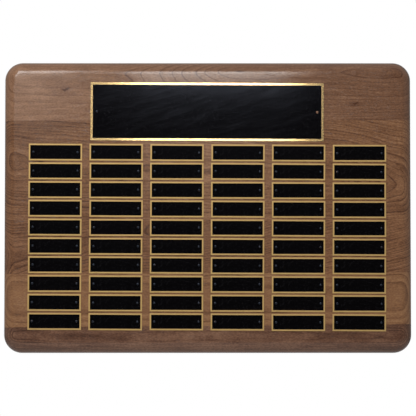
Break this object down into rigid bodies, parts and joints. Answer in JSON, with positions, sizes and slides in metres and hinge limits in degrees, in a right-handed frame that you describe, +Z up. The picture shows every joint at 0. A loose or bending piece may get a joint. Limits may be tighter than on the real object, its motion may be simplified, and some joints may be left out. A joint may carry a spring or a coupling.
{
  "type": "wall plaque",
  "caption": "Rectangular walnut wall plaque with bull-nosed edges, a wide blank header plate and a grid of small blank black nameplates with brass borders.",
  "frame": {"origin": "centre of the board's flat back face, which lies against the wall", "axes": "+Z up, +X to the right seen from the front, -Y out of the front towards the viewer"},
  "size_m": [0.5334, 0.0229, 0.381],
  "materials": {
    "walnut_stave_1": "satin clear lacquer over American walnut",
    "walnut_stave_2": "satin clear lacquer over American walnut",
    "walnut_stave_3": "satin clear lacquer over American walnut",
    "walnut_stave_4": "satin clear lacquer over American walnut",
    "walnut_stave_5": "satin clear lacquer over American walnut",
    "header_plate": "glossy black lacquer on brass, with a bright brass border left bare",
    "pin": "darkened brass, with the copper tone showing where it is chipped",
    "nameplate": "satin black lacquer on brass, with a narrow brass border left bare",
    "hanger": "bright zinc plate",
    "hanger_screw": "zinc plate with a faint yellow tint"
  },
  "bodies": {
    "root": {"walnut_stave_1": "walnut_stave_1", "walnut_stave_2": "walnut_stave_2", "walnut_stave_3": "walnut_stave_3", "walnut_stave_4": "walnut_stave_4", "walnut_stave_5": "walnut_stave_5", "header_plate": "header_plate", "header_pin_left": "pin", "header_pin_right": "pin", "nameplates_c1_r01_02": "nameplate", "nameplates_c1_r03_04": "nameplate", "nameplates_c1_r05_06": "nameplate", "nameplates_c1_r07_08": "nameplate", "nameplates_c1_r09_10": "nameplate", "nameplates_c2_r01_02": "nameplate", "nameplates_c2_r03_04": "nameplate", "nameplates_c2_r05_06": "nameplate", "nameplates_c2_r07_08": "nameplate", "nameplates_c2_r09_10": "nameplate", "nameplates_c3_r01_02": "nameplate", "nameplates_c3_r03_04": "nameplate", "nameplates_c3_r05_06": "nameplate", "nameplates_c3_r07_08": "nameplate", "nameplates_c3_r09_10": "nameplate", "nameplates_c4_r01_02": "nameplate", "nameplates_c4_r03_04": "nameplate", "nameplates_c4_r05_06": "nameplate", "nameplates_c4_r07_08": "nameplate", "nameplates_c4_r09_10": "nameplate", "nameplates_c5_r01_02": "nameplate", "nameplates_c5_r03_04": "nameplate", "nameplates_c5_r05_06": "nameplate", "nameplates_c5_r07_08": "nameplate", "nameplates_c5_r09_10": "nameplate", "nameplates_c6_r01_02": "nameplate", "nameplates_c6_r03_04": "nameplate", "nameplates_c6_r05_06": "nameplate", "nameplates_c6_r07_08": "nameplate", "nameplates_c6_r09_10": "nameplate", "keyhole_hanger_left": "hanger", "keyhole_hanger_right": "hanger", "hanger_screw_left_top": "hanger_screw", "hanger_screw_left_bottom": "hanger_screw", "hanger_screw_right_top": "hanger_screw", "hanger_screw_right_bottom": "hanger_screw"}
  },
  "joints": []
}
